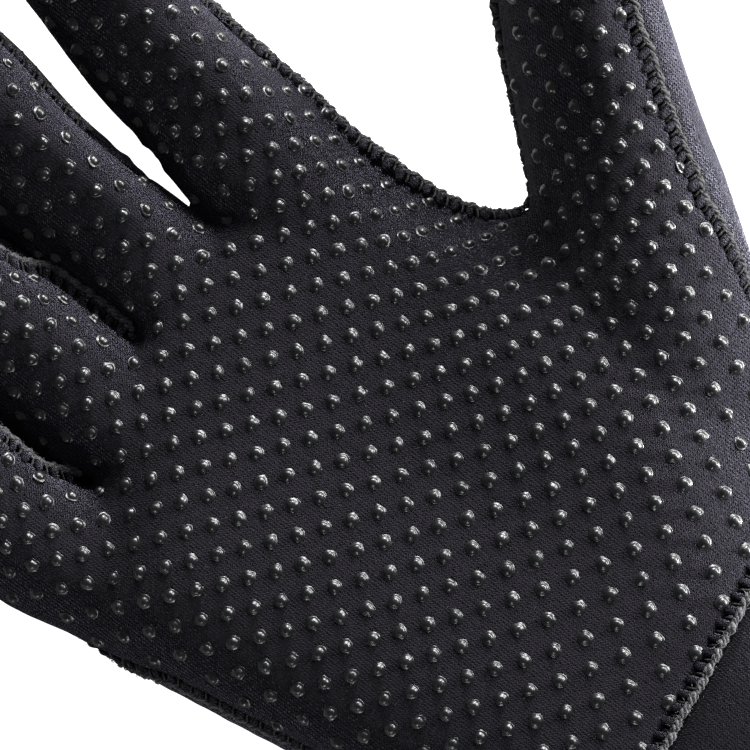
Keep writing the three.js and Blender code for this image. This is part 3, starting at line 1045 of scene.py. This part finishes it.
def thread_nylon(name, dark, light, sheen):
    """Fuzzy twisted thread, its colour painted paler at the wrist and between the last fingers as painted
    light.
    """
    material, tree, shader = new_material(name)
    where = add_node(tree, "ShaderNodeTexCoord").outputs["Object"]
    fibres = noise(tree, where, 0.35 * MM, 3.0, Roughness=0.7)
    bump = bumped(tree, fibres, 0.15 * MM, 0.9)
    tones = (0.35, (dark, dark, dark * 1.08)), (0.68, (light, light, light * 1.06))
    colour = two_tones(tree, fibres, *tones)
    axes = add_node(tree, "ShaderNodeSeparateXYZ", Vector=where).outputs
    # Painted light: the thread's colour is scaled up at the wrist and between the last fingers, where its
    # seams are lit
    wrist = ranged(tree, axes["Y"], *PAINTED_LIGHT_WRIST)
    fingers = ranged(tree, axes["X"], *PAINTED_LIGHT_FINGERS)
    share = maths(tree, "MAXIMUM", wrist, fingers)
    painted_light = maths(tree, "ADD", maths(tree, "MULTIPLY", share, 1 - THREAD_SHADE_SHARE), THREAD_SHADE_SHARE)
    scaled = add_node(tree, "ShaderNodeVectorMath", {"operation": "SCALE"}, i0=colour, Scale=painted_light)
    tree.links.new(scaled.outputs[0], shader.inputs["Base Color"])
    tree.links.new(bump, shader.inputs["Normal"])
    shader.inputs["Roughness"].default_value = 0.5
    shader.inputs["Sheen Weight"].default_value = sheen
    shader.inputs["Sheen Tint"].default_value = (0.85, 0.85, 0.9, 1)
    return material


def dress(thing, material):
    thing.data.materials.clear()
    thing.data.materials.append(material)


# Stage, lights and camera

LIGHTS = (  # name, metres to the right, up the picture and above the palm, width and height, watts
    ("key", 2.16, 1.44, 0.85, 1.6, 0.9, 92),
    ("top", 0.30, 2.56, 0.70, 1.4, 0.7, 104),
    ("side", 2.60, 0.15, 0.12, 0.5, 0.3, 90),
    ("low", -0.10, -0.95, 0.26, 0.10, 0.10, 1.6),
)


def add_stage():
    size = 3.0  # half the floor's width in metres
    corners = [(-size, -size, 0), (size, -size, 0), (size, size, 0), (-size, size, 0)]
    floor = object_of("floor", mesh_of("floor", corners, [(0, 1, 2, 3)], smooth=False))
    material, tree, shader = new_material("floor_white")
    shader.inputs["Base Color"].default_value = (0.8, 0.8, 0.8, 1)
    shader.inputs["Roughness"].default_value = 0.9
    glow = add_node(tree, "ShaderNodeEmission", Color=(1, 1, 1, 1), Strength=FLOOR_GLOW)
    seen = add_node(tree, "ShaderNodeLightPath").outputs["Is Camera Ray"]
    dark = add_node(tree, "ShaderNodeEmission", Color=(1, 1, 1, 1), Strength=0.0)
    lit = add_node(tree, "ShaderNodeMixShader", Fac=seen, i1=dark.outputs[0], i2=glow.outputs[0])
    both = add_node(tree, "ShaderNodeAddShader", i0=shader.outputs[0], i1=lit.outputs[0])
    tree.links.new(both.outputs[0], tree.nodes["Material Output"].inputs["Surface"])
    floor.data.materials.append(material)


def add_light(name, right, up, height, wide, tall, power):
    """An area light, placed by the picture's right and up, aimed at the palm."""
    lamp = bpy.data.lights.new(name, "AREA")
    lamp.shape = "RECTANGLE"
    lamp.size = wide
    lamp.size_y = tall
    lamp.energy = power
    thing = bpy.data.objects.new(name, lamp)
    bpy.context.scene.collection.objects.link(thing)
    thing.location = VIEW_CENTRE + VIEW_RIGHT * right + VIEW_UP * up + Vector((0, 0, height))
    thing.rotation_mode = "QUATERNION"
    thing.rotation_quaternion = (VIEW_CENTRE - thing.location).to_track_quat("-Z", "Y")


def add_world():
    world = bpy.data.worlds.new("studio")
    world.use_nodes = True
    background = world.node_tree.nodes["Background"]
    background.inputs["Color"].default_value = (0.9, 0.93, 1.0, 1)
    background.inputs["Strength"].default_value = WORLD_LIGHT
    bpy.context.scene.world = world


def add_camera():
    camera = bpy.data.cameras.new("camera")
    camera.sensor_width = SENSOR_WIDTH
    camera.lens = SENSOR_WIDTH * VIEW_DISTANCE / VIEW_WIDTH
    camera.clip_end = 10
    thing = bpy.data.objects.new("camera", camera)
    bpy.context.scene.collection.objects.link(thing)
    turn = Matrix((VIEW_RIGHT, VIEW_UP, VIEW_RIGHT.cross(VIEW_UP))).transposed()
    thing.matrix_world = Matrix.Translation(EYE) @ turn.to_4x4()
    bpy.context.scene.camera = thing


# Build

add_camera()
add_world()
add_stage()
for light in LIGHTS:
    add_light(*light)

fused, fused_rest, fused_soft = fused_skin()
palm_field = panel_field(fused_rest, "palm_panel", ["cuff_panel", "back_panel"])
cuff_field = panel_field(fused_rest, "cuff_panel", ["palm_panel", "back_panel"])
fused_triangles = triangles_of(fused)
rest_normals = normals_of(fused)
set_points(fused, fused_soft)
skin_tree = surface_tree(fused)
fused_normals = normals_of(fused)
palm_loops = contour_loops(fused_soft, fused_normals, fused_triangles, palm_field)
cuff_loops = contour_loops(fused_soft, fused_normals, fused_triangles, cuff_field)
outer_loop = max(palm_loops, key=lambda loop: np.ptp(loop[0], axis=0).sum())
palm_line = panel_line(outer_loop, "palm_panel", skin_tree)
cuff_line = panel_line(cuff_loops[0], "cuff_panel", skin_tree)
palm_tree = tree_of(palm_line.points)
flanks = [flank_line(digit, skin_tree, palm_tree) for digit in DIGITS if digit["name"] in FLANK_FINGERS]
stretches = outer_runs(palm_line, None) + outer_runs(cuff_line, palm_tree)
stretches += [
    (line, FLANK_ENDS * SEAM_STEP, (line.count - 2 * FLANK_ENDS) * SEAM_STEP) for line in flanks
]
seam_tree = tree_of(np.concatenate([line.points for line in [palm_line, cuff_line] + flanks]))
rest_tree = tree_of(fused_rest)
shift = fused_soft - fused_rest
palm_skin = panel_skin("palm_panel", "palm_skin", rest_tree, rest_normals, shift, seam_tree)
cuff_skin = panel_skin("cuff_panel", "cuff_skin", rest_tree, rest_normals, shift, seam_tree)
back_skin = panel_skin("back_panel", "back_skin", rest_tree, rest_normals, shift, seam_tree)
bpy.data.meshes.remove(fused)

dots_mesh = dot_mesh(palm_skin, seam_tree)
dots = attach(object_of("grip_dots", dots_mesh), "root")
seam_edge = stitched("seam_edge", stretches, add_puff)
seam_bars = stitched("seam_bars", stretches, add_bar)
seam_thread = stitched("seam_thread", stretches, add_twist)
seam_fuzz = stitched("seam_fuzz", stretches, add_fuzz)
for thing in (seam_edge, seam_bars, seam_thread, seam_fuzz):
    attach(thing, "root")

grip = neoprene(
    "grip_neoprene", (0.0056, 0.0051, 0.0068),
    gloss=0.26, sheen=0.26, tint=(0.72, 0.68, 0.90), coarse=0.72 * MM,
)
plain = neoprene(
    "plain_neoprene", (0.0026, 0.0024, 0.0032),
    gloss=0.12, sheen=0.90, tint=(0.72, 0.70, 0.88), coarse=0.20 * MM,
)
dress(palm_skin, grip)
dress(cuff_skin, plain)
dress(back_skin, plain)
dress(dots, dot_rubber())
dress(seam_edge, grip)
loose = thread_nylon("thread_loose", dark=0.010, light=0.20, sheen=0.35)
# The bars are the same thread as the twist, painted near-black as painted shade where they sink into the
# needle holes
tight = thread_nylon("thread_painted_shade", dark=0.003, light=0.012, sheen=0.08)
dress(seam_bars, tight)
dress(seam_thread, loose)
dress(seam_fuzz, loose)

bpy.context.scene.view_settings.view_transform = "Standard"
